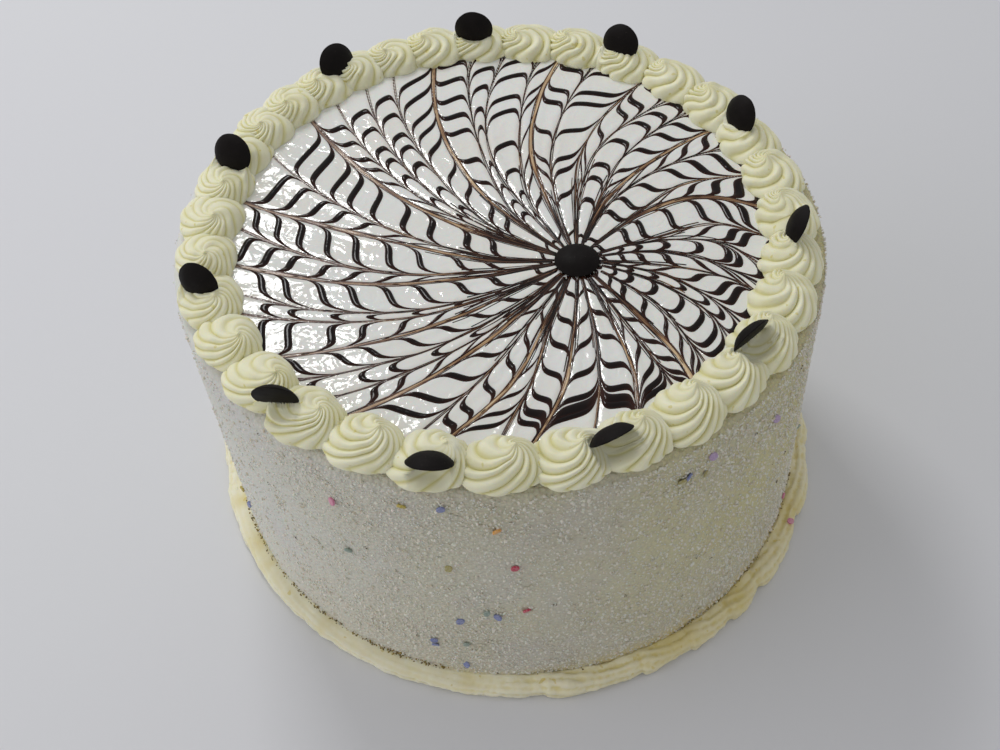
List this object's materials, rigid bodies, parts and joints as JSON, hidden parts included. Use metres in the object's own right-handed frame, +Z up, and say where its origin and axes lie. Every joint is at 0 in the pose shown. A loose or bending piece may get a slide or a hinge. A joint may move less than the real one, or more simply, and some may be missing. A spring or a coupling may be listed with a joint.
{
  "type": "cream cake",
  "caption": "Tall round cream cake: crumb-coated wall, glossy white top with a feathered chocolate web, piped cream rosettes and dark chocolate discs round the rim, cream border at the foot.",
  "frame": {"origin": "middle of the cake's foot, on the surface that it stands on", "axes": "+Z up; -Y towards the side that the picture shows in front; +X to its right"},
  "size_m": [0.2779, 0.2776, 0.1632],
  "materials": {
    "crumb_coat": "matt white cream rolled in fine pale crumbs, coarser towards the front right, with a few sugar dots",
    "glaze": "wet-looking white poured glaze, very glossy, with raised dark chocolate strokes",
    "cream": "pale ivory whipped cream, satin, with piped ridges",
    "border_cream": "pale yellow cream, satin, smeared flat in places",
    "chocolate": "dark chocolate, nearly matt"
  },
  "bodies": {
    "root": {"cake_body": "crumb_coat", "top_glaze": "glaze", "foot_border": "border_cream", "rosette_01": "cream", "rosette_02": "cream", "rosette_03": "cream", "rosette_04": "cream", "rosette_05": "cream", "rosette_06": "cream", "rosette_07": "cream", "rosette_08": "cream", "rosette_09": "cream", "rosette_10": "cream", "rosette_11": "cream", "rosette_12": "cream", "rosette_13": "cream", "rosette_14": "cream", "rosette_15": "cream", "rosette_16": "cream", "rosette_17": "cream", "rosette_18": "cream", "rosette_19": "cream", "rosette_20": "cream", "rosette_21": "cream", "rosette_22": "cream", "rosette_23": "cream", "rosette_24": "cream", "rosette_25": "cream", "rosette_26": "cream", "rosette_27": "cream", "rosette_28": "cream", "rosette_29": "cream", "rosette_30": "cream", "rosette_31": "cream", "rosette_32": "cream", "rosette_33": "cream", "disc_01": "chocolate", "disc_02": "chocolate", "disc_03": "chocolate", "disc_04": "chocolate", "disc_05": "chocolate", "disc_06": "chocolate", "disc_07": "chocolate", "disc_08": "chocolate", "disc_09": "chocolate", "disc_10": "chocolate", "disc_11": "chocolate", "disc_centre": "chocolate"}
  },
  "joints": []
}
